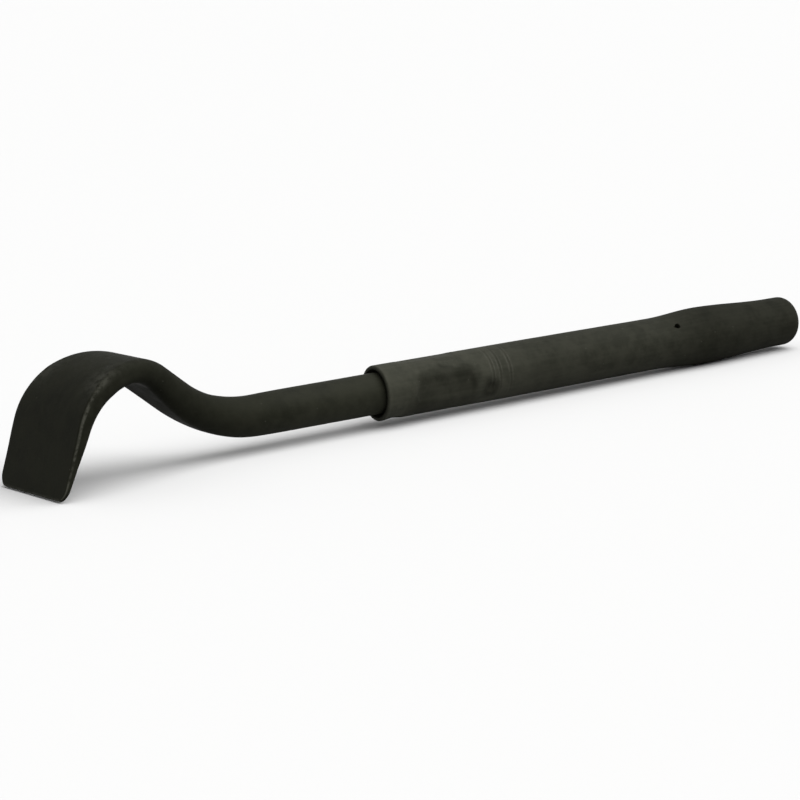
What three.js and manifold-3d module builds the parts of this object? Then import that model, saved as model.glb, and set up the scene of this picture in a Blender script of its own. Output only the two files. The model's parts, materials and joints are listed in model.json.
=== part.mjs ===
// A tyre lever: a forged steel bar with a hooked, spoon-shaped blade, and a steel tube crimped on as its
// handle. Millimetres, +Z up. The lever stands on its blade's tip and its handle's swell, the bend of the
// bar is in the XZ plane, the blade is at -X and the handle at +X.
import * as THREE from 'three';
import * as BufferGeometryUtils from 'three/addons/utils/BufferGeometryUtils.js';
import Module from 'manifold-3d';

const { degToRad, lerp, smoothstep } = THREE.MathUtils;

// The bar's runs, from its inner end inside the tube to the blade's tip.
const barDiameter = 24;
const shankLength = 90;             // inside the tube
const neckLength = 81.6;             // straight, in front of the tube
const sweepRadius = 84;             // the first bend lifts the bar
const sweepAngle = 38.4;
const riseLength = 22.8;
const shoulderRadius = 31.7;         // the hook's first bend
const shoulderAngle = 43.5;
const hookRadius = 40.2;             // the hook's second bend, towards the blade
const hookAngle = 62.4;
const bladeLength = 37.8;            // straight, down to the tip
const shankChamfer = 2;

// The blade is spread and thinned from the round bar; distances are measured from the tube's mouth.
const bladeWidth = 72.7;
const bladeThickness = 11.3;
const bladeEdgeRadius = 2.6;
const spreadStart = 97.7;
const spreadLength = 142.5;
const thinningStart = 60.5;
const thinningLength = 157;
const tipTaperLength = 66;
const tipWidth = 68.3;
const tipThickness = 2.7;
const tipCornerRadius = 7.5;

// The handle tube, swollen near its end into a hand stop, narrowed behind it and rounded over at the end. Its
// mouth is cut a little out of square, turned about the vertical so that the -Y side reaches further forward.
const tubeDiameter = 31.8;
const tubeWall = 3.6;
const tubeLength = 320;
const mouthRounding = 1;
const mouthChamfer = 1.3;
const mouthSkew = 6.5;              // degrees
const mouthSkewReach = 12;          // the tube is square again this far in
const waistDiameter = 31.2;
const waistStart = 94;
const swellStart = 206;
const swellPeak = 245;
const swellDiameter = 35;
const swellEnd = 306;
const endDiameter = 30.1;
const endRounding = 6.6;
const plugHoleDiameter = 15;

// Marks of the crimping: dies press flats, rollers run rings round the tube, and punches dent it. Angles are
// counted in degrees from straight up towards -Y, and places from the mouth.
const dies = [
  { angle: 0, depth: 0.6, start: 14, end: 56 },
  { angle: 90, depth: 1.7, start: 16, end: 62 },
  { angle: 180, depth: 0.6, start: 20, end: 56 },
  { angle: 270, depth: 1.7, start: 16, end: 62 },
];
const dieRamp = 4;
const dieReach = 60;                // degrees to each side of a die that it may shape
const ringPlaces = [73.2, 78.3, 85.8];
const ringWidth = 1.6;
const ringDepth = 0.3;
const stake = { place: 71.6, angle: 108, radius: 5.7, depth: 1.2 };
const lipDent = { place: 8.5, angle: 180, radius: 13.7, depth: 1.2 };
const vent = { place: 218, angle: 48, diameter: 2.8 };

// The end plug has a nose in the tube's end hole and a wider head behind the rounded-over wall.
const plugHeadDiameter = 22;
const plugHeadLength = 6;
const plugHeadChamfer = 3.4;

const clearance = 0.3;              // between touching pieces

// How finely the shapes are divided: points round them, and steps along them.
const aroundBar = 48;
const aroundTube = 48;
const aroundPlug = 32;
const bladeSteps = 32;
const tipCornerSteps = 6;
const swellSteps = 18;

const blackenedBlade = new THREE.MeshStandardMaterial({ color: 0x24251f, roughness: 0.6, metalness: 0.6 });
const blackenedTube = new THREE.MeshStandardMaterial({ color: 0x34362c, roughness: 0.55, metalness: 0.6 });
const blackenedPlug = new THREE.MeshStandardMaterial({ color: 0x2b2c25, roughness: 0.6, metalness: 0.6 });

const wasm = await Module();
wasm.setup();

// The geometry with its shared vertices joined, so that it is one closed surface.
function closed(geometry) {
  geometry.deleteAttribute('normal');
  geometry.deleteAttribute('uv');
  return BufferGeometryUtils.mergeVertices(geometry, 1e-4);
}

function toSolid(geometry) {
  const joined = closed(geometry.clone());
  return new wasm.Manifold(new wasm.Mesh({
    numProp: 3,
    vertProperties: joined.attributes.position.array,
    triVerts: new Uint32Array(joined.index.array),
  }));
}

function toGeometry(solid) {
  const mesh = solid.getMesh();
  const geometry = new THREE.BufferGeometry();
  geometry.setAttribute('position', new THREE.BufferAttribute(mesh.vertProperties, 3));
  geometry.setIndex(new THREE.BufferAttribute(mesh.triVerts, 1));
  geometry.computeVertexNormals();
  return geometry;
}

function movePoints(geometry, move) {
  const points = geometry.attributes.position;
  const point = new THREE.Vector3();
  for (let i = 0; i < points.count; i += 1) {
    point.fromBufferAttribute(points, i);
    move(point);
    points.setXYZ(i, point.x, point.y, point.z);
  }
  return geometry;
}

// The radius that the dies leave of a round surface, at a place along the tube and an angle round it.
function crimpedRadius(radius, place, angle) {
  let crimped = radius;
  for (const die of dies) {
    const pressedIn = smoothstep(place, die.start, die.start + dieRamp);
    const pressed = pressedIn - smoothstep(place, die.end - dieRamp, die.end);
    const towards = Math.cos(angle - degToRad(die.angle));
    if (towards > Math.cos(degToRad(dieReach))) {
      crimped = Math.min(crimped, (radius - die.depth * pressed) / towards);
    }
  }
  return crimped;
}

// Where the dies' ramps begin, are halfway and end, along the tube, in order.
const rampPlaces = [...new Set(dies.flatMap(({ start, end }) => [
  start, start + dieRamp / 2, start + dieRamp, end - dieRamp, end - dieRamp / 2, end,
]))].sort((a, b) => a - b);

// The bar's centre line, as straight and bent runs.
const barRuns = [
  { length: shankLength + neckLength, bend: 0 },
  { length: sweepRadius * degToRad(sweepAngle), bend: -degToRad(sweepAngle) },
  { length: riseLength, bend: 0 },
  { length: shoulderRadius * degToRad(shoulderAngle), bend: degToRad(shoulderAngle) },
  { length: hookRadius * degToRad(hookAngle), bend: degToRad(hookAngle) },
  { length: bladeLength, bend: 0 },
];
const barLength = barRuns.reduce((sum, run) => sum + run.length, 0);

function stationOnBar(distance) {
  let x = shankLength;
  let z = 0;
  let heading = Math.PI;
  let left = distance;
  for (const run of barRuns) {
    const step = Math.min(left, run.length);
    if (run.bend === 0) {
      x += step * Math.cos(heading);
      z += step * Math.sin(heading);
    } else {
      const radius = run.length / run.bend;
      const turned = heading + step / radius;
      x += radius * (Math.sin(turned) - Math.sin(heading));
      z -= radius * (Math.cos(turned) - Math.cos(heading));
      heading = turned;
    }
    left -= step;
  }
  return { x, z, heading };
}

// The bar's section: a rounded rectangle that starts as the round bar.
function sectionOfBar(distance) {
  const fromMouth = distance - shankLength;
  const toTip = barLength - distance;
  const spread = smoothstep(fromMouth, spreadStart, spreadStart + spreadLength);
  const thinned = smoothstep(fromMouth, thinningStart, thinningStart + thinningLength);
  const tapered = Math.max(0, 1 - toTip / tipTaperLength);
  const thickness = lerp(barDiameter, bladeThickness, thinned) - (bladeThickness - tipThickness) * tapered;
  let width = lerp(barDiameter, bladeWidth, spread) - (bladeWidth - tipWidth) * tapered;
  if (toTip < tipCornerRadius) {
    width -= 2 * (tipCornerRadius - Math.sqrt(tipCornerRadius ** 2 - (tipCornerRadius - toTip) ** 2));
  }
  const edge = lerp(barDiameter / 2, bladeEdgeRadius, Math.max(spread, thinned));
  return { width, thickness, edge: Math.min(edge, thickness / 2) };
}

// Distances of the bar's rings of points: at the ends of what is straight, close together where it changes.
function ringsOfBar() {
  const rings = [0, shankChamfer];
  for (const place of [...rampPlaces].reverse()) rings.push(shankLength - place);
  const changeStart = shankLength + Math.min(spreadStart, thinningStart);
  for (let i = 0; i <= bladeSteps; i += 1) {
    rings.push(lerp(changeStart, barLength - tipCornerRadius, i / bladeSteps));
  }
  for (let i = 1; i <= tipCornerSteps; i += 1) {
    rings.push(barLength - tipCornerRadius * (1 - Math.sin(i / tipCornerSteps * Math.PI / 2)));
  }
  return rings;
}

function leverBar() {
  const rings = ringsOfBar();
  const geometry = new THREE.CylinderGeometry(1, 1, 1, aroundBar, rings.length - 1);
  geometry.rotateY(Math.PI / aroundBar);
  movePoints(geometry, (point) => {
    const ring = Math.round((0.5 - point.y) * (rings.length - 1));
    const distance = rings[ring];
    const station = stationOnBar(distance);
    const section = sectionOfBar(distance);
    const angle = Math.atan2(point.x, point.z);
    const onRim = Math.hypot(point.x, point.z) > 0.5 ? 1 : 0;
    const chamfer = distance === 0 ? shankChamfer : 0;
    let radius = section.edge - chamfer;
    if (distance < shankLength) radius = crimpedRadius(radius, shankLength - distance, angle);
    const across = Math.sign(point.x) * (section.width / 2 - section.edge) + radius * Math.sin(angle);
    const up = Math.sign(point.z) * (section.thickness / 2 - section.edge) + radius * Math.cos(angle);
    point.set(
      station.x + onRim * up * Math.sin(station.heading),
      -onRim * across,
      station.z - onRim * up * Math.cos(station.heading),
    );
  });
  return closed(geometry);
}

function outerRadius(place) {
  const waist = lerp(tubeDiameter, waistDiameter, smoothstep(place, waistStart, swellStart));
  const swell = lerp(waist, swellDiameter, smoothstep(place, swellStart, swellPeak));
  return lerp(swell, endDiameter, smoothstep(place, swellPeak, swellEnd)) / 2;
}

function evenly(from, to, steps) {
  return Array.from({ length: steps + 1 }, (_, i) => lerp(from, to, i / steps));
}

// A quarter turn of an edge, from facing along the tube's axis to facing outwards or back again.
function roundedEdge(radius, centrePlace, centreRadius, fromAngle, toAngle, steps) {
  return evenly(fromAngle, toAngle, steps).map((angle) => new THREE.Vector2(
    centreRadius + radius * Math.cos(angle),
    centrePlace + radius * Math.sin(angle),
  ));
}

// The tube's section, x as the radius and y as the place along it from the mouth, once round the wall.
function tubeProfile() {
  const quarter = Math.PI / 2;
  const bore = tubeDiameter / 2 - tubeWall;
  const roundingPlace = tubeLength - endRounding;
  const roundingRadius = outerRadius(roundingPlace) - endRounding;
  const outside = rampPlaces.map((place) => [place, 0]);
  for (const place of ringPlaces) {
    outside.push([place - ringWidth / 2, 0], [place, ringDepth], [place + ringWidth / 2, 0]);
  }
  outside.push([waistStart, 0]);
  for (const place of evenly((waistStart + swellStart) / 2, swellStart, 2)) outside.push([place, 0]);
  for (const place of evenly(swellStart, roundingPlace, swellSteps).slice(1)) outside.push([place, 0]);
  const inside = [...evenly(roundingPlace, swellStart, swellSteps / 2), (waistStart + swellStart) / 2, waistStart];
  return [
    new THREE.Vector2(bore, mouthChamfer),
    new THREE.Vector2(bore + mouthChamfer, 0),
    ...roundedEdge(mouthRounding, mouthRounding, tubeDiameter / 2 - mouthRounding, -quarter, 0, 3),
    ...outside.map(([place, depth]) => new THREE.Vector2(outerRadius(place) - depth, place)),
    ...roundedEdge(endRounding, roundingPlace, roundingRadius, 0, quarter, 6).slice(1),
    new THREE.Vector2(plugHoleDiameter / 2, tubeLength),
    new THREE.Vector2(plugHoleDiameter / 2, tubeLength - tubeWall),
    ...roundedEdge(endRounding - tubeWall, roundingPlace, roundingRadius, quarter, 0, 4).slice(0, -1),
    ...inside.map((place) => new THREE.Vector2(outerRadius(place) - tubeWall, place)),
    ...[...rampPlaces].reverse().map((place) => new THREE.Vector2(bore, place)),
    new THREE.Vector2(bore, mouthChamfer),
  ];
}

// Lays a lathed shape along +X, with its first angle straight up.
function layAlongX(geometry) {
  return movePoints(geometry, (point) => point.set(point.y, -point.x, point.z));
}

// A point on or beside the tube's axis, seen from the place and angle of a mark.
function atTube(place, angle, radius) {
  const turn = degToRad(angle);
  return new THREE.Vector3(place, -radius * Math.sin(turn), radius * Math.cos(turn));
}

// The round-nosed punch that leaves a dent, where it is at its deepest.
function punchOf(dent) {
  const punch = new THREE.SphereGeometry(dent.radius, 24, 16);
  return punch.translate(...atTube(dent.place, dent.angle, tubeDiameter / 2 + dent.radius - dent.depth));
}

function handleTube() {
  const lathed = new THREE.LatheGeometry(tubeProfile(), aroundTube);
  movePoints(lathed, (point) => {
    const radius = Math.hypot(point.x, point.z);
    const angle = Math.atan2(point.x, point.z);
    const pressed = crimpedRadius(radius, point.y, angle);
    const skewed = Math.max(0, 1 - point.y / mouthSkewReach) * Math.tan(degToRad(mouthSkew));
    const across = pressed * Math.sin(angle);
    point.set(across, point.y - across * skewed, pressed * Math.cos(angle));
  });
  let tube = toSolid(layAlongX(lathed));
  for (const dent of [stake, lipDent]) tube = tube.subtract(toSolid(punchOf(dent)));

  const drill = new THREE.CylinderGeometry(vent.diameter / 2, vent.diameter / 2, 4 * tubeWall, 16);
  drill.rotateX(Math.PI / 2 + degToRad(vent.angle));
  drill.translate(...atTube(vent.place, vent.angle, tubeDiameter / 2));

  return toGeometry(tube.subtract(toSolid(drill)));
}

function endPlug() {
  const noseRadius = plugHoleDiameter / 2 - clearance;
  const headRadius = plugHeadDiameter / 2;
  const shoulder = tubeLength - tubeWall - clearance;
  const inner = shoulder - plugHeadLength;
  const profile = [
    [0, inner],
    [headRadius, inner],
    [headRadius, shoulder - plugHeadChamfer],
    [headRadius - plugHeadChamfer, shoulder],
    [noseRadius, shoulder],
    [noseRadius, tubeLength],
    [0, tubeLength],
  ];
  const points = profile.map(([radius, place]) => new THREE.Vector2(radius, place));
  return closed(layAlongX(new THREE.LatheGeometry(points, aroundPlug)));
}

function piece(name, geometry, material) {
  const mesh = new THREE.Mesh(geometry, material);
  mesh.name = name;
  return mesh;
}

const bar = piece('lever_bar', leverBar(), blackenedBlade);
const tube = piece('handle_tube', handleTube(), blackenedTube);
const plug = piece('end_plug', endPlug(), blackenedPlug);
const lever = new THREE.Group();
lever.add(bar, tube, plug);

function boxOf(object) {
  return new THREE.Box3().setFromObject(object, true);
}

// Turns the lever about Y, a little less each time, until the bar's tip and the tube are equally low.
for (let turn = 0; turn < 30; turn += 1) {
  lever.updateMatrixWorld(true);
  lever.rotation.y += Math.atan((boxOf(tube).min.z - boxOf(bar).min.z) / tubeLength / 2);
}
lever.updateMatrixWorld(true);

// Centres it over the origin, standing on z = 0.
const box = boxOf(lever);
lever.position.set(-(box.min.x + box.max.x) / 2, -(box.min.y + box.max.y) / 2, -box.min.z);

const tyreLever = new THREE.Group();
tyreLever.add(lever);

export default tyreLever;
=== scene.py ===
# Looks of the tyre lever: a blackened forged bar with a crimped tube handle, on a plain pale floor.
import json
import math

import bmesh
import bpy
from mathutils import Matrix, Vector, noise


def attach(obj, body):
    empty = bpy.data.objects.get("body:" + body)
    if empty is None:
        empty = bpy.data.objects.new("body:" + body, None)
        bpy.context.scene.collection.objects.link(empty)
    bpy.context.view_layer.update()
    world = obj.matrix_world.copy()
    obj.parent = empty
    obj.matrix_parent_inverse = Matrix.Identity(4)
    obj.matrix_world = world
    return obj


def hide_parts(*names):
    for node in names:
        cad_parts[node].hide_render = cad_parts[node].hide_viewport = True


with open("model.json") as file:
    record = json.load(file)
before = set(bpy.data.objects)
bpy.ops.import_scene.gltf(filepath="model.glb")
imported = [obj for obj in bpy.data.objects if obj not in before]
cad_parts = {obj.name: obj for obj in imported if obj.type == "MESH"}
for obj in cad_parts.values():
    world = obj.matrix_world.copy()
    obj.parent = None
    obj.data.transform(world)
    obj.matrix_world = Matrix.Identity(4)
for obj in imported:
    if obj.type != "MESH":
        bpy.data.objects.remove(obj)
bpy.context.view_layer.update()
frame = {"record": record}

mm = 0.001


def riseBetween(value, start, end):
    share = min(1.0, max(0.0, (value - start) / (end - start)))
    return share * share * (3 - 2 * share)


def mix(low, high, share):
    return low + (high - low) * share


def evenly(start, end, steps):
    return [mix(start, end, i / steps) for i in range(steps + 1)]


def bell(value, width):
    return math.exp(-(value / width) ** 2)


# The lever's own directions: the handle's axis comes from the end face that the record states.
leverTube = dict(length=320 * mm, diameter=31.8 * mm, wall=3.6 * mm, endInset=0.02 * mm)
endMount = next(m for m in frame["record"]["mounts"] if m["name"] == "handle_end_face")
alongHandle = Vector(endMount["axis"]).normalized()
acrossHandle = Vector((0, -1, 0))
upHandle = acrossHandle.cross(alongHandle).normalized()
if upHandle.z < 0:
    upHandle = -upHandle
tubeMouth = Vector(endMount["pos_m"]) - alongHandle * leverTube["length"]


# A point by its distance from the tube's mouth, towards the near side and up.
def inLever(along, across, up):
    return tubeMouth + alongHandle * along + acrossHandle * across + upHandle * up


# Joins rings of points into one closed skin. With closeOn the last ring meets the first, as in a tube.
# The marks are per-point values that the steel reads: the wear-and-highlight mark turns it towards bare
# steel, for real wear and for painted highlights; tone under 1 darkens it, for darker scale and for
# painted shade.
def skinRings(name, rings, marks=None, closeOn=False):
    around = len(rings[0])
    points = [point for ring in rings for point in ring]
    faces = []
    pairs = len(rings) if closeOn else len(rings) - 1
    for r in range(pairs):
        here, there = r * around, (r + 1) % len(rings) * around
        for i in range(around):
            j = (i + 1) % around
            faces.append((here + i, here + j, there + j, there + i))
    if not closeOn:
        last = (len(rings) - 1) * around
        faces.append(tuple(range(around - 1, -1, -1)))
        faces.append(tuple(range(last, last + around)))
    mesh = bpy.data.meshes.new(name)
    mesh.from_pydata([tuple(p) for p in points], [], faces)
    for mark, values in (marks or {}).items():
        mesh.attributes.new(mark, "FLOAT", "POINT").data.foreach_set("value", values)
    shell = bmesh.new()
    shell.from_mesh(mesh)
    bmesh.ops.recalc_face_normals(shell, faces=shell.faces)
    shell.to_mesh(mesh)
    shell.free()
    mesh.shade_smooth()
    piece = bpy.data.objects.new(name, mesh)
    bpy.context.collection.objects.link(piece)
    return piece


# The forged bar, from the shank's end inside the tube to the blade's tip.
forgedBar = dict(
    diameter=24 * mm,
    shank=90 * mm,              # inside the tube
    neck=81.6 * mm,
    sweepRadius=84 * mm, sweepAngle=38.4,
    rise=22.8 * mm,
    shoulderRadius=31.7 * mm, shoulderAngle=43.5,
    hookRadius=40.2 * mm, hookAngle=62.4,
    blade=37.8 * mm,
    bladeWidth=72.7 * mm, bladeThickness=11.3 * mm, edgeRadius=2.6 * mm,
    spreadStart=97.7 * mm, spreadLength=142.5 * mm,
    thinningStart=60.5 * mm, thinningLength=157 * mm,
    tipTaper=66 * mm, tipWidth=68.3 * mm, tipThickness=2.7 * mm, tipCorner=7.5 * mm,
    tipRounding=0.7 * mm,
    pointsRound=224, ringSpacing=1.3 * mm,
    inset=0.12 * mm, unevenness=0.13 * mm,      # how far the forging dips below its true shape
    # The corner value is a painted highlight; the edge, crown and nose values are wear.
    edgeWear=1.0, crownWear=0.08, cornerHighlight=0.35, noseWear=0.6,
    # These two paint shade on the bar's sides and underside, from a little before the crown to the tip.
    sideShade=0.95, underShade=0.74,
    bendTone=0.66, bladeTone=0.74,             # how much darker the blade's scale is, 1 is no darker
)


# The bar's straight runs and bends in order, as length and turn.
def barRuns():
    b = forgedBar
    turns = [(b["sweepRadius"], -b["sweepAngle"]), (b["shoulderRadius"], b["shoulderAngle"]),
             (b["hookRadius"], b["hookAngle"])]
    bends = [(radius * abs(math.radians(angle)), math.radians(angle)) for radius, angle in turns]
    return [(b["shank"] + b["neck"], 0), bends[0], (b["rise"], 0), bends[1], bends[2], (b["blade"], 0)]


barLength = sum(length for length, bend in barRuns())


# Where the bar's middle line is at a distance from the shank's end, and which way it heads.
def barStation(distance):
    along, up, heading, left = forgedBar["shank"], 0.0, math.pi, distance
    for length, bend in barRuns():
        step = min(left, length)
        if bend == 0:
            along += step * math.cos(heading)
            up += step * math.sin(heading)
        else:
            radius = length / bend
            turned = heading + step / radius
            along += radius * (math.sin(turned) - math.sin(heading))
            up -= radius * (math.cos(turned) - math.cos(heading))
            heading = turned
        left -= step
    return along, up, heading


# The bar's width, thickness and edge rounding at a distance from the shank's end.
def barSection(distance):
    b = forgedBar
    fromMouth, toTip = distance - b["shank"], barLength - distance
    spread = riseBetween(fromMouth, b["spreadStart"], b["spreadStart"] + b["spreadLength"])
    thinned = riseBetween(fromMouth, b["thinningStart"], b["thinningStart"] + b["thinningLength"])
    tapered = max(0.0, 1 - toTip / b["tipTaper"])
    width = mix(b["diameter"], b["bladeWidth"], spread) - (b["bladeWidth"] - b["tipWidth"]) * tapered
    thickness = mix(b["diameter"], b["bladeThickness"], thinned)
    thickness -= (b["bladeThickness"] - b["tipThickness"]) * tapered
    corner, nose = b["tipCorner"], b["tipRounding"]
    if toTip < corner:
        width -= 2 * (corner - math.sqrt(corner ** 2 - (corner - toTip) ** 2))
    edge = mix(b["diameter"] / 2, b["edgeRadius"], spread)
    if toTip < nose:
        inset = nose - math.sqrt(nose ** 2 - (nose - toTip) ** 2)
        thickness -= 2 * inset
        width -= 2 * inset
    return width, thickness, min(edge, thickness / 2)


# A rounded rectangle walked at an even pace that slows down on its corners, from the middle of its top.
def roundedOutline(width, thickness, edge, count, cornerPace=2.6):
    flatAcross, flatUp = max(0.0, width / 2 - edge), max(0.0, thickness / 2 - edge)
    arc = edge * math.pi / 2 * cornerPace
    runs = [flatAcross, arc, 2 * flatUp, arc, 2 * flatAcross, arc, 2 * flatUp, arc, flatAcross]
    total = sum(runs)
    outline = []
    for i in range(count):
        left, run = total * i / count, 0
        while left > runs[run]:
            left -= runs[run]
            run += 1
        share = left / runs[run] if runs[run] > 0 else 0.0
        if run % 2 == 1:
            angle = math.pi / 2 * (run // 2 + share)
            sideAcross = 1 if run in (1, 3) else -1
            sideUp = 1 if run in (1, 7) else -1
            outline.append((sideAcross * flatAcross + edge * math.sin(angle),
                            sideUp * flatUp + edge * math.cos(angle), angle))
        else:
            across, up, angle = [
                (left, thickness / 2, 0), (width / 2, flatUp - left, math.pi / 2),
                (flatAcross - left, -thickness / 2, math.pi),
                (-width / 2, -flatUp + left, math.pi * 1.5),
                (-flatAcross + left, thickness / 2, 0)][run // 2]
            outline.append((across, up, angle))
    return outline


# How far a hammered or drawn surface dips at a point: broad waves with finer ones on top, from 0 to 1.
def unevenness(point, broad, fine):
    wave = noise.noise(point / broad) * 0.7 + noise.noise(point / fine + Vector((7, 3, 5))) * 0.3
    return min(1.0, max(0.0, 0.5 + wave))


def makeLeverBar():
    b = forgedBar
    crownPlace = barLength - b["blade"] - math.radians(b["hookAngle"]) * b["hookRadius"]
    places = [0, 0.6 * mm, 1.2 * mm, 2 * mm]
    places += evenly(8 * mm, b["shank"] - 12 * mm, 6)
    shapedLength = barLength - b["shank"] - b["tipCorner"]
    shapedSteps = round(shapedLength / b["ringSpacing"])
    places += evenly(b["shank"] - 6 * mm, barLength - b["tipCorner"], shapedSteps)
    cornerSteps = 14
    places += [barLength - b["tipCorner"] * (1 - math.sin(math.pi / 2 * i / cornerSteps))
               for i in range(1, cornerSteps - 2)]
    places += [barLength - b["tipRounding"] * (1 - math.sin(math.pi / 2 * i / 5)) for i in range(6)]
    places = sorted(places)
    rings, wearAndHighlight, tone = [], [], []
    for distance in places:
        along, up, heading = barStation(distance)
        width, thickness, edge = barSection(distance)
        chamfer = max(0.0, 2 * mm - distance)
        width, thickness = width - 2 * chamfer, thickness - 2 * chamfer
        edge = min(edge, thickness / 2)
        edged = riseBetween(distance, crownPlace + 8 * mm, crownPlace + 36 * mm)
        bent = riseBetween(distance, b["shank"] + 45 * mm, b["shank"] + 120 * mm)
        hooked = riseBetween(distance, crownPlace - 75 * mm, crownPlace - 25 * mm)
        ring = []
        for across, high, facing in roundedOutline(width, thickness, edge, b["pointsRound"]):
            outwards = Vector((math.sin(heading), 0, -math.cos(heading)))
            point = Vector((along, across, up)) + outwards * high
            dip = b["inset"] + b["unevenness"] * unevenness(point, 22 * mm, 8 * mm)
            if barLength - distance < 3 * mm:
                dip *= (barLength - distance) / (3 * mm)
            across -= dip * math.sin(facing)
            high -= dip * math.cos(facing)
            if distance < b["shank"]:
                across, high = crimpPoint(across, high, b["shank"] - distance)
            ring.append(inLever(along + high * math.sin(heading), across, up - high * math.cos(heading)))

            onEdge = max(0.0, math.sin(2 * facing) ** 2 - 0.5) * 2 * edged
            outside = 1.0 if math.cos(facing) > 0 else 0.4
            nose = max(0.0, 1 - (barLength - distance) / (1.6 * mm))
            upward = max(0.0, math.cos(facing))
            crown = b["crownWear"] * bell(distance - crownPlace, 20 * mm) * upward
            # Painted highlight on the upward faces towards both edges, just past the crown.
            litCorner = b["cornerHighlight"] * bell(distance - crownPlace - 17 * mm, 9 * mm) * upward
            litCorner *= riseBetween(abs(across), 12 * mm, 28 * mm)
            wornAndLit = onEdge * outside * b["edgeWear"] + nose * b["noseWear"] + crown + litCorner
            wearAndHighlight.append(min(1.0, wornAndLit))
            # Painted shade: the sides and the underside darker, from a little before the crown on.
            aside = riseBetween(abs(math.sin(facing)), 0.45, 0.9) * hooked
            under = riseBetween(-math.cos(facing), 0.2, 0.8) * hooked
            shade = mix(1, b["sideShade"], aside) * mix(1, b["underShade"], under)
            scale = mix(1, b["bendTone"], bent) + (b["bladeTone"] - b["bendTone"]) * edged
            tone.append(scale * shade)
        rings.append(ring)
    return skinRings("lever_bar_forging", rings, dict(wearAndHighlight=wearAndHighlight, tone=tone))


# The handle tube; places are from its mouth, angles from up towards the near side.
handleTube = dict(
    mouthRounding=1 * mm, mouthChamfer=1.3 * mm,
    mouthSkew=6.5, mouthSkewReach=12 * mm,      # the mouth is cut a little out of square
    waist=31.2 * mm, waistStart=94 * mm,
    swellStart=206 * mm, swellPeak=245 * mm, swell=35 * mm, swellEnd=306 * mm,
    end=30.1 * mm, endRounding=6.6 * mm, plugHole=15 * mm,
    dies=[(0, 0.6 * mm, 14 * mm, 56 * mm), (90, 1.7 * mm, 16 * mm, 62 * mm),
          (180, 0.6 * mm, 20 * mm, 56 * mm), (270, 1.7 * mm, 16 * mm, 62 * mm)],
    dieRamp=5 * mm, dieReach=60, dieSoftness=0.5 * mm, dieWander=1.2 * mm,
    rings=[73.2 * mm, 78.3 * mm, 85.8 * mm], ringWidth=1.6 * mm, ringDepth=0.3 * mm,
    stake=(71.6 * mm, 108, 5.7 * mm, 1.2 * mm), lipDent=(8.5 * mm, 167, 11 * mm, 2 * mm),
    vent=(218 * mm, 48, 2.8 * mm),
    pointsRound=192,
    unevenness=0.07 * mm,
    # The ring value paints a highlight on the rings' lips on the upper near side; the rim and end values
    # are wear.
    rimWear=0.2, ringLipHighlight=0.6, endWear=0.2,
    # The pressed, stake and bore values paint shade: on the near pressed flat, in the stake's dimple and
    # inside the bore.
    gripTone=0.47, endTone=0.52, plainTone=0.74, pressedFlatShade=0.68, stakeShade=0.55, boreShade=0.25,
)


def softMin(first, second, softness):
    share = max(softness - abs(first - second), 0) / softness
    return min(first, second) - share * share * softness / 4


# The radius that the dies leave of a round surface, at a place along the tube and an angle round it.
def crimpedRadius(radius, place, angle):
    t = handleTube
    crimped = radius
    wander = noise.noise(Vector((place / (8 * mm), math.sin(angle) * 2, math.cos(angle) * 2)))
    place += t["dieWander"] * wander
    for dieAngle, depth, start, end in t["dies"]:
        pressed = riseBetween(place, start, start + t["dieRamp"])
        pressed -= riseBetween(place, end - t["dieRamp"], end)
        towards = math.cos(angle - math.radians(dieAngle))
        if pressed > 0 and towards > math.cos(math.radians(t["dieReach"])):
            flat = (radius - depth * pressed) / towards
            crimped = mix(crimped, softMin(crimped, flat, t["dieSoftness"]), min(1.0, pressed * 2.5))
    return crimped


# The same for a point of the bar's shank.
def crimpPoint(across, high, place):
    radius, angle = math.hypot(across, high), math.atan2(across, high)
    crimped = crimpedRadius(radius, place, angle)
    return crimped * math.sin(angle), crimped * math.cos(angle)


def outerRadius(place):
    t = handleTube
    waist = mix(leverTube["diameter"], t["waist"], riseBetween(place, t["waistStart"], t["swellStart"]))
    swell = mix(waist, t["swell"], riseBetween(place, t["swellStart"], t["swellPeak"]))
    return mix(swell, t["end"], riseBetween(place, t["swellPeak"], t["swellEnd"])) / 2


# The rolled rings: shallow grooves with slightly raised lips, deepest where the rollers pressed hardest.
def ringGroove(place, angle):
    t = handleTube
    depth = 0.0
    pressed = 0.15 + 0.85 * bell(turnBetween(angle, 66), math.radians(38))
    for ringPlace in t["rings"]:
        off = (place - ringPlace) / (t["ringWidth"] * 0.5)
        groove = math.exp(-off ** 2 * 2)
        lips = math.exp(-(abs(off) - 1.5) ** 2 * 3)
        depth += t["ringDepth"] * pressed * (groove - 0.35 * lips)
    return depth


def turnBetween(angle, degrees):
    return (angle - math.radians(degrees) + math.pi) % (2 * math.pi) - math.pi


# What a round-nosed punch leaves of the tube's radius.
def punchedRadius(radius, place, angle, dent):
    dentPlace, dentAngle, noseRadius, depth = dent
    centre = leverTube["diameter"] / 2 + noseRadius - depth
    turn = turnBetween(angle, dentAngle)
    reach = noseRadius ** 2 - (place - dentPlace) ** 2 - (centre * math.sin(turn)) ** 2
    if reach <= 0 or math.cos(turn) <= 0:
        return radius
    return softMin(radius, centre * math.cos(turn) - math.sqrt(reach), 0.6 * mm)
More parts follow.
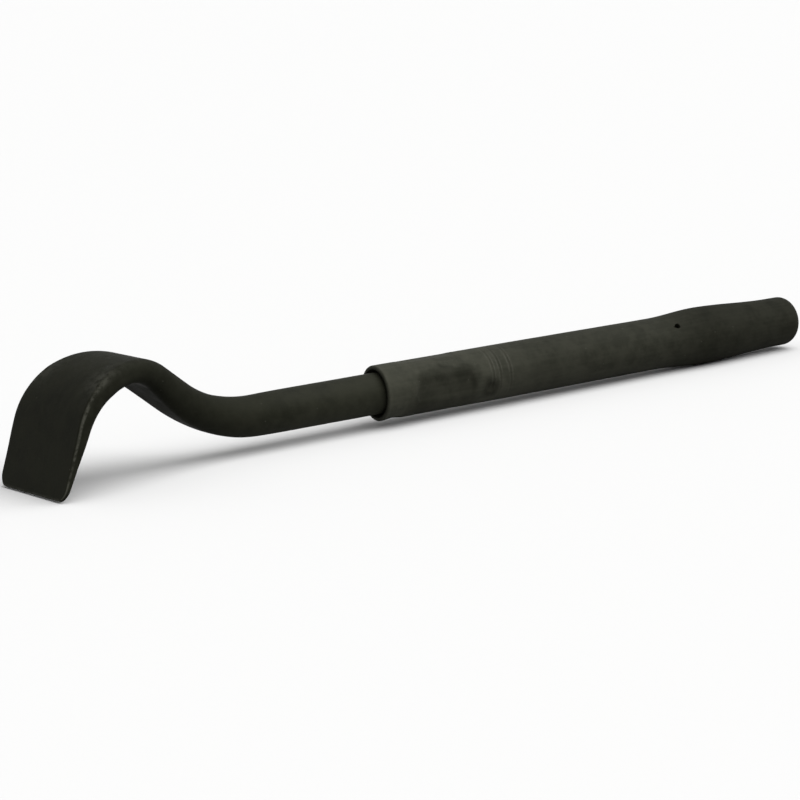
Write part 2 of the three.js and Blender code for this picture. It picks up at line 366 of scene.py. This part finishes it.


# How dark the tube is, 1 is no darker: painted shade on the near pressed flat and in the stake's dimple,
# and darker along the grip and towards the end.
def toneAt(place, angle):
    t = handleTube
    ragged = Vector((place, 15 * mm * math.sin(angle), 15 * mm * math.cos(angle)))
    ragged = noise.noise(ragged / (7 * mm)) + 0.5 * noise.noise(ragged / (2.5 * mm))
    shift = ragged * 3 * mm
    degrees = math.degrees(angle)
    # Painted shade on the pressed flat that faces the near side.
    start = mix(16 * mm, 9 * mm, riseBetween(degrees, 70, 115))
    pressed = riseBetween(place + shift, start, start + 8 * mm)
    pressed -= riseBetween(place + shift, 58 * mm, 66 * mm)
    turned = math.degrees(abs(turnBetween(angle, 100)))
    pressed *= 1 - riseBetween(turned + ragged * 14, 44, 62)
    # Painted shade in and round the stake's dimple.
    stakePlace, stakeAngle = t["stake"][:2]
    aroundStake = outerRadius(place) * turnBetween(angle, stakeAngle)
    fromStake = math.hypot(place - stakePlace, aroundStake) + shift * 0.3
    staked = 1 - riseBetween(fromStake, 3.5 * mm, 9.5 * mm)
    gripped = riseBetween(place, t["swellStart"] - 14 * mm, t["swellPeak"])
    eased = riseBetween(place, t["swellPeak"], t["swellEnd"])
    plain = riseBetween(place, 60 * mm, 120 * mm)
    tone = 1 - (1 - t["plainTone"]) * plain
    tone += (t["gripTone"] - t["plainTone"]) * gripped + (t["endTone"] - t["gripTone"]) * eased
    return tone * mix(1, t["pressedFlatShade"], pressed) * mix(1, t["stakeShade"], staked)


# Where the tube turns towards bare steel: rubbed behind its rim and round its end, and a painted
# highlight on the rings' lips on the upper near side.
def tubeWearAndHighlight(place, angle):
    t = handleTube
    rim = bell(place - 1.4 * mm, 0.8 * mm)
    # Painted highlight on the rings' lips, kept to the upper near side.
    rings = max(bell(abs(place - ring) - t["ringWidth"] * 0.75, 0.5 * mm) for ring in t["rings"])
    rings *= bell(turnBetween(angle, 62), math.radians(36))
    roundStart = leverTube["length"] - t["endRounding"] * 0.8
    end = riseBetween(place, roundStart, leverTube["length"] - 1.5 * mm)
    return min(1.0, rim * t["rimWear"] + rings * t["ringLipHighlight"] + end * t["endWear"])


def makeHandleTube():
    t = handleTube
    length, wall = leverTube["length"] - leverTube["endInset"], leverTube["wall"]
    bore = leverTube["diameter"] / 2 - wall
    quarter = math.pi / 2
    roundPlace = length - t["endRounding"]
    roundRadius = outerRadius(roundPlace) - t["endRounding"]
    outside, inside = True, False
    profile = [(bore, t["mouthChamfer"], inside),
               (bore + t["mouthChamfer"] * 0.5, t["mouthChamfer"] * 0.5, inside),
               (bore + t["mouthChamfer"], 0, inside)]
    for angle in evenly(-quarter, 0, 6):
        profile.append((leverTube["diameter"] / 2 - t["mouthRounding"] * (1 - math.cos(angle)),
                        t["mouthRounding"] * (1 + math.sin(angle)), outside))
    places = evenly(1.5 * mm, 66 * mm, 110)            # the crimp
    places += evenly(66.4 * mm, 90 * mm, 80)           # the rings, closest together
    places += evenly(91 * mm, t["swellStart"], 45)
    places += evenly(t["swellStart"], roundPlace, 60)[1:]
    profile += [(outerRadius(place), place, outside) for place in places]
    for angle in evenly(0, quarter, 16)[1:]:
        profile.append((roundRadius + t["endRounding"] * math.cos(angle),
                        roundPlace + t["endRounding"] * math.sin(angle), outside))
    lip = 0.25 * mm
    profile += [(t["plugHole"] / 2 + lip, length, inside), (t["plugHole"] / 2, length - lip, inside),
                (t["plugHole"] / 2, length - wall, inside)]
    for angle in evenly(quarter, 0, 8):
        profile.append((roundRadius + (t["endRounding"] - wall) * math.cos(angle),
                        roundPlace + (t["endRounding"] - wall) * math.sin(angle), inside))
    swellPlaces = evenly(roundPlace, t["swellStart"], 14)[1:]
    profile += [(outerRadius(place) - wall, place, inside) for place in swellPlaces]
    profile += [(bore, place, inside) for place in evenly(t["waistStart"] + 4 * mm, 4 * mm, 46)]
    rings, wearAndHighlight, tone = [], [], []
    for radius, place, onOutside in profile:
        ring = []
        for i in range(t["pointsRound"]):
            angle = 2 * math.pi * i / t["pointsRound"]
            here = crimpedRadius(radius, place, angle)
            if onOutside:
                for dent in (t["stake"], t["lipDent"]):
                    here = punchedRadius(here, place, angle, dent)
                point = Vector((place, here * math.sin(angle), here * math.cos(angle)))
                here -= ringGroove(place, angle) + t["unevenness"] * unevenness(point, 22 * mm, 7 * mm)
            across = here * math.sin(angle)
            skewed = max(0.0, 1 - place / t["mouthSkewReach"]) * math.tan(math.radians(t["mouthSkew"]))
            ring.append(inLever(place - across * skewed, across, here * math.cos(angle)))
            wearAndHighlight.append(tubeWearAndHighlight(place, angle) if onOutside else 0.0)
            # Painted shade over the whole bore.
            tone.append(toneAt(place, angle) * (1 if onOutside else t["boreShade"]))
        rings.append(ring)
    return skinRings("handle_tube_crimped", rings, dict(wearAndHighlight=wearAndHighlight, tone=tone), closeOn=True)


def drillVent(tube):
    t = handleTube
    place, degrees, diameter = t["vent"]
    angle = math.radians(degrees)
    outward = acrossHandle * math.sin(angle) + upHandle * math.cos(angle)
    centre = inLever(place, 0, 0) + outward * (outerRadius(place) - 1 * mm)
    sideways = alongHandle.cross(outward)
    rings = []
    for depth, grow in [(-6, 0), (0.75, 0), (2.2, 1.2)]:    # a straight hole with a broken edge
        radius = diameter / 2 + grow * mm
        rings.append([centre + outward * depth * mm + alongHandle * radius * math.cos(turn)
                      + sideways * radius * math.sin(turn) for turn in evenly(0, 2 * math.pi, 32)[:-1]])
    drill = skinRings("vent_drill", rings, dict(tone=[0.8] * len(rings) * len(rings[0])))
    cut = tube.modifiers.new("vent", "BOOLEAN")
    cut.operation = "DIFFERENCE"
    cut.solver = "EXACT"
    cut.object = drill
    bpy.context.view_layer.objects.active = tube
    tube.select_set(True)
    bpy.ops.object.modifier_apply(modifier="vent")
    bpy.data.objects.remove(drill)


# The plug that closes the tube's end, turned from bar.
endPlug = dict(clearance=0.3 * mm, head=22 * mm, headLength=6 * mm, headChamfer=3.4 * mm, edge=0.4 * mm,
               pointsRound=96)


def makeEndPlug():
    p = endPlug
    length, wall = leverTube["length"] - leverTube["endInset"], leverTube["wall"]
    nose = handleTube["plugHole"] / 2 - p["clearance"]
    shoulder = length - wall - p["clearance"]
    back = shoulder - p["headLength"]
    head = p["head"] / 2
    profile = [(1.2 * mm, back), (head - p["edge"], back), (head, back + p["edge"])]
    profile += [(head, shoulder - p["headChamfer"]), (head - p["headChamfer"], shoulder)]
    profile.append((nose, shoulder))
    profile += [(nose, length - p["edge"]), (nose - p["edge"] * 0.3, length - p["edge"] * 0.3),
                (nose - p["edge"], length)]
    for radius in evenly(nose - p["edge"], 1.4 * mm, 12)[1:]:
        profile.append((radius, length))
    profile += [(0.9 * mm, length - 0.3 * mm), (0.3 * mm, length - 0.9 * mm)]    # lathe's centre mark
    rings = [[inLever(place, radius * math.sin(turn), radius * math.cos(turn))
              for turn in evenly(0, 2 * math.pi, p["pointsRound"])[:-1]] for radius, place in profile]
    tone = [handleTube["endTone"]] * len(rings) * p["pointsRound"]
    return skinRings("end_plug_turned", rings, dict(tone=tone))


def addNode(tree, kind, inputs=None, **settings):
    node = tree.nodes.new(kind)
    for key, value in settings.items():
        setattr(node, key, value)
    for key, value in (inputs or {}).items():
        if isinstance(value, bpy.types.NodeSocket):
            tree.links.new(value, node.inputs[key])
        else:
            node.inputs[key].default_value = value
    return node


# Soft-edged patches from 0 to 1.
def spots(tree, place, scale, detail, roughness, low, high, stretch=(1, 1, 1), shift=(0, 0, 0)):
    moved = addNode(tree, "ShaderNodeMapping", {"Vector": place, "Scale": stretch, "Location": shift})
    cloud = addNode(tree, "ShaderNodeTexNoise", {"Vector": moved.outputs["Vector"], "Scale": scale,
                                                 "Detail": detail, "Roughness": roughness})
    spread = addNode(tree, "ShaderNodeMapRange",
                     {"Value": cloud.outputs["Fac"], "From Min": low, "From Max": high},
                     interpolation_type="SMOOTHSTEP")
    return spread.outputs["Result"]


def blend(tree, share, low, high):
    node = addNode(tree, "ShaderNodeMix", data_type="RGBA")
    for socket, value in (("Factor_Float", share), ("A_Color", low), ("B_Color", high)):
        target = next(s for s in node.inputs if s.identifier == socket)
        if isinstance(value, bpy.types.NodeSocket):
            tree.links.new(value, target)
        else:
            target.default_value = value
    return next(s for s in node.outputs if s.identifier == "Result_Color")


def sums(tree, kind, first, second, clamp=False):
    node = addNode(tree, "ShaderNodeMath", {0: first, 1: second}, operation=kind, use_clamp=clamp)
    return node.outputs["Value"]


# Blackened steel: cloudy scale with finer mottle and drawn streaks, darkened where the tone is low, as
# darker scale and as painted shade, bare where it is worn and lighter as painted highlight where marked,
# with dust.
def blackSteel(name, look):
    material = bpy.data.materials.new(name)
    material.use_nodes = True
    tree = material.node_tree
    tree.nodes.clear()
    place = addNode(tree, "ShaderNodeTexCoord").outputs["Object"]
    out = addNode(tree, "ShaderNodeOutputMaterial")
    shader = addNode(tree, "ShaderNodeBsdfPrincipled",
                     {"Metallic": 0.0, "IOR": 1.5, "Specular Tint": look["shineTint"]})
    tree.links.new(shader.outputs["BSDF"], out.inputs["Surface"])
    wearAndHighlight = addNode(tree, "ShaderNodeAttribute", attribute_name="wearAndHighlight").outputs["Fac"]
    tone = addNode(tree, "ShaderNodeAttribute", attribute_name="tone").outputs["Fac"]

    clouds = spots(tree, place, look["clouds"], 3, 0.55, 0.32, 0.68)
    mottle = spots(tree, place, look["mottle"], 5, 0.62, 0.35, 0.65, shift=(0.3, 0.1, 0.7))
    streaks = spots(tree, place, 620, 3, 0.5, 0.42, 0.62, stretch=look["streakStretch"])
    grain = spots(tree, place, look["grain"], 2, 0.5, 0.2, 0.8, shift=(0.2, 0.5, 0.1))
    ragged = spots(tree, place, 260, 4, 0.7, 0.36, 0.6, shift=(0.9, 0.4, 0.2))

    colour = blend(tree, clouds, look["dark"], look["pale"])
    colour = blend(tree, sums(tree, "MULTIPLY", mottle, look["mottleShare"]), colour, look["bloom"])
    colour = blend(tree, sums(tree, "MULTIPLY", streaks, look["streakShare"]), colour, look["bloom"])
    # Darker towards the stain colour where the tone is low: darker scale, and painted shade on the bar's
    # sides and underside, the near pressed flat, the stake and the bore.
    colour = blend(tree, tone, look["stainAndShade"], colour)
    shine = addNode(tree, "ShaderNodeMapRange",
                    {"Value": tone, "From Min": look["dullTone"], "To Max": look["shine"]})
    tree.links.new(shine.outputs["Result"], shader.inputs["Specular IOR Level"])
    ragged = sums(tree, "ADD", sums(tree, "MULTIPLY", ragged, 0.9), 0.1)
    wornAndLit = sums(tree, "MULTIPLY", wearAndHighlight, ragged, True)
    # Towards bare steel where worn, and as painted highlight where the corner and ring-lip marks add to
    # it.
    colour = blend(tree, wornAndLit, colour, look["bareAndHighlight"])
    dust = addNode(tree, "ShaderNodeTexVoronoi",
                   {"Vector": place, "Scale": look["specks"], "Randomness": 1.0})
    nearDust = addNode(tree, "ShaderNodeMapRange", {"Value": dust.outputs["Distance"], "From Min": 0.05,
                                                    "From Max": 0.11, "To Min": 1.0, "To Max": 0.0})
    pick = addNode(tree, "ShaderNodeSeparateColor", {"Color": dust.outputs["Color"]}).outputs["Red"]
    chosen = sums(tree, "GREATER_THAN", pick, 0.9)
    speck = sums(tree, "MULTIPLY", sums(tree, "MULTIPLY", nearDust.outputs["Result"], chosen), 0.5)
    colour = blend(tree, speck, colour, look["speck"])
    tree.links.new(colour, shader.inputs["Base Color"])

    smoothest, roughest = look["rough"]
    rough = addNode(tree, "ShaderNodeMapRange",
                    {"Value": sums(tree, "ADD", clouds, mottle), "From Max": 2.0,
                     "To Min": smoothest, "To Max": roughest})
    rough = sums(tree, "SUBTRACT", rough.outputs["Result"], sums(tree, "MULTIPLY", wornAndLit, 0.12))
    tree.links.new(rough, shader.inputs["Roughness"])

    height = sums(tree, "ADD", sums(tree, "MULTIPLY", grain, 0.5), sums(tree, "MULTIPLY", mottle, 1.6))
    height = sums(tree, "ADD", height, sums(tree, "MULTIPLY", streaks, look["streakBump"]))
    bump = addNode(tree, "ShaderNodeBump",
                   {"Strength": look["bump"], "Distance": look["bumpHeight"], "Height": height})
    tree.links.new(bump.outputs["Normal"], shader.inputs["Normal"])
    return material


forgedLook = dict(
    dark=(0.0066, 0.0069, 0.0044, 1), pale=(0.0112, 0.0116, 0.0078, 1),
    bloom=(0.0185, 0.0188, 0.0134, 1),
    # The stain colour also serves for the painted shade.
    stainAndShade=(0.0010, 0.0010, 0.0006, 1),      # what tone 0 would look like
    # The bare colour also serves for the painted highlights.
    bareAndHighlight=(0.042, 0.042, 0.034, 1), speck=(0.05, 0.05, 0.043, 1),
    clouds=38, mottle=150, mottleShare=0.36, grain=1500, specks=260,
    streakStretch=(0.3, 1, 1), streakShare=0.03, streakBump=0.1,
    rough=(0.55, 0.7), shine=0.05, dullTone=0.3, shineTint=(0.97, 1, 0.8, 1),
    bump=0.5, bumpHeight=0.06 * mm,
)
tubeLook = dict(
    forgedLook,
    dark=(0.0142, 0.0147, 0.0106, 1), pale=(0.0204, 0.0209, 0.0156, 1), bloom=(0.034, 0.034, 0.026, 1),
    mottle=120, mottleShare=0.45,
    streakStretch=(0.02, 1, 1), streakShare=0.16, streakBump=0.8,       # drawn lengthways
    rough=(0.55, 0.68), bump=0.35,
)
plugLook = dict(tubeLook, streakShare=0.0, streakBump=0.0)


def paint(piece, material, edgeAngle=40):
    piece.data.materials.clear()
    piece.data.materials.append(material)
    piece.data.set_sharp_from_angle(angle=math.radians(edgeAngle))


bar = makeLeverBar()
paint(bar, blackSteel("blackened forging", forgedLook))
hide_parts("lever_bar")
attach(bar, "root")
print("bar forged")

tube = makeHandleTube()
drillVent(tube)
paint(tube, blackSteel("blackened tube", tubeLook))
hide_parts("handle_tube")
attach(tube, "root")
print("tube crimped")

plug = makeEndPlug()
paint(plug, blackSteel("blackened plug", plugLook))
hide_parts("end_plug")
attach(plug, "root")
print("plug turned")


studio = dict(floorReach=30, floor=(0.475, 0.475, 0.474, 1), sky=(1, 1, 1, 1), skyStrength=0.8,
              lampFrom=(0.36, -0.42, 0.83), lampStrength=4.75, lampSpread=76)
camera = dict(place=(-0.983315, -1.303954, 0.320456), azimuth=-36.141, elevation=10.782, roll=-3.077,
              lens=130.5)


def layFloor():
    reach = studio["floorReach"]
    mesh = bpy.data.meshes.new("floor")
    corners = [(-reach, -reach, 0), (reach, -reach, 0), (reach, reach, 0), (-reach, reach, 0)]
    mesh.from_pydata(corners, [], [(0, 1, 2, 3)])
    floor = bpy.data.objects.new("floor", mesh)
    bpy.context.collection.objects.link(floor)
    material = bpy.data.materials.new("pale floor")
    material.use_nodes = True
    shader = material.node_tree.nodes["Principled BSDF"]
    shader.inputs["Base Color"].default_value = studio["floor"]
    shader.inputs["Roughness"].default_value = 0.9
    shader.inputs["Specular IOR Level"].default_value = 0.1
    mesh.materials.append(material)


def hangLamp():
    lamp = bpy.data.lights.new("soft lamp", "SUN")
    lamp.energy = studio["lampStrength"]
    lamp.angle = math.radians(studio["lampSpread"])
    holder = bpy.data.objects.new("soft lamp", lamp)
    holder.rotation_euler = Vector(studio["lampFrom"]).to_track_quat("Z", "Y").to_euler()
    bpy.context.collection.objects.link(holder)
    world = bpy.data.worlds.new("studio")
    world.use_nodes = True
    sky = world.node_tree.nodes["Background"]
    sky.inputs["Color"].default_value = studio["sky"]
    sky.inputs["Strength"].default_value = studio["skyStrength"]
    bpy.context.scene.world = world


def setCamera():
    lens = bpy.data.cameras.new("camera")
    lens.lens = camera["lens"]
    lens.sensor_width = 36
    lens.clip_end = 200
    turn, lift, roll = (math.radians(camera[key]) for key in ("azimuth", "elevation", "roll"))
    back = Vector((math.sin(turn) * math.cos(lift), -math.cos(turn) * math.cos(lift), math.sin(lift)))
    level = Vector((math.cos(turn), math.sin(turn), 0))
    right = level * math.cos(roll) + back.cross(level) * math.sin(roll)
    up = back.cross(right)
    holder = bpy.data.objects.new("camera", lens)
    turned = Matrix((right, up, back)).transposed().to_4x4()
    holder.matrix_world = Matrix.Translation(camera["place"]) @ turned
    bpy.context.collection.objects.link(holder)
    bpy.context.scene.camera = holder


layFloor()
hangLamp()
setCamera()
bpy.context.scene.view_settings.view_transform = "Standard"
